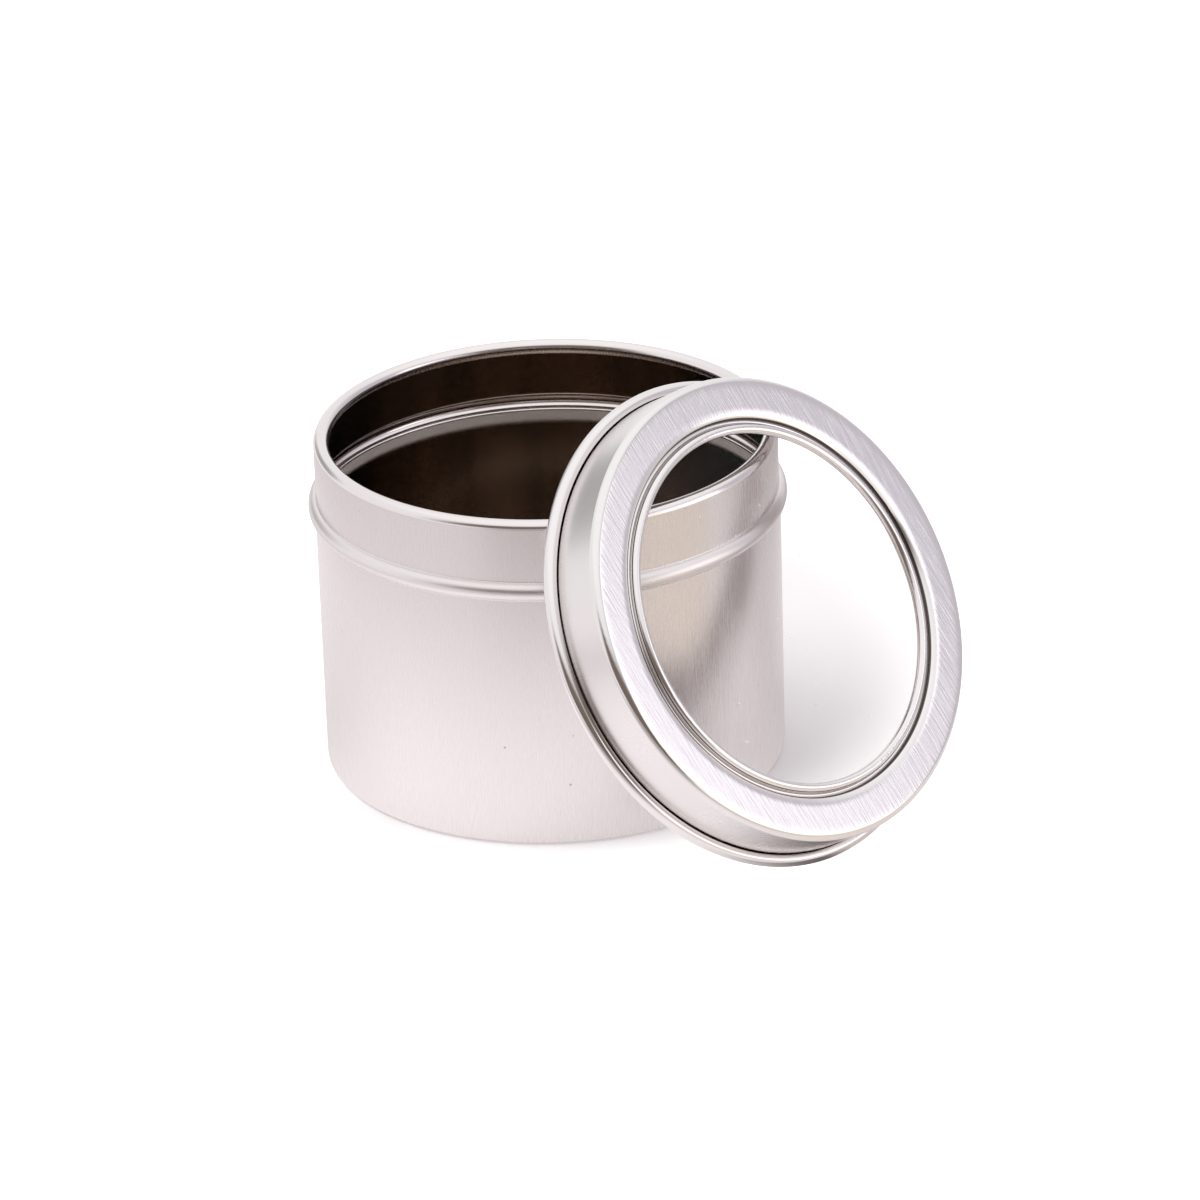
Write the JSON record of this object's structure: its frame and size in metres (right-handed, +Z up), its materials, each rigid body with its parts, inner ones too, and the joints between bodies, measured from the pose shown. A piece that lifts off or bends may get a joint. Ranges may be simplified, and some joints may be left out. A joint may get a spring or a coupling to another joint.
{
  "type": "window lid tin",
  "caption": "Round drawn tin with a stop bead and curled rim, and its slip lid with a clear window leaning against it.",
  "frame": {"origin": "the tin's axis, on the surface that it stands on", "axes": "+Z up along the tin's axis, +X towards the lid that leans against the tin"},
  "size_m": [0.1094, 0.0802, 0.0714],
  "materials": {
    "tinplate": "satin",
    "clear_film": "clear"
  },
  "bodies": {
    "tin": {"tin_body": "tinplate"},
    "lid": {"lid_shell": "tinplate", "window_disc": "clear_film", "retaining_ring": "tinplate"}
  },
  "joints": [
    {"name": "lid_lift", "type": "slide", "parent": "tin", "child": "lid", "axis": [0, 0, 1], "range_m": [0, 0.1]}
  ]
}
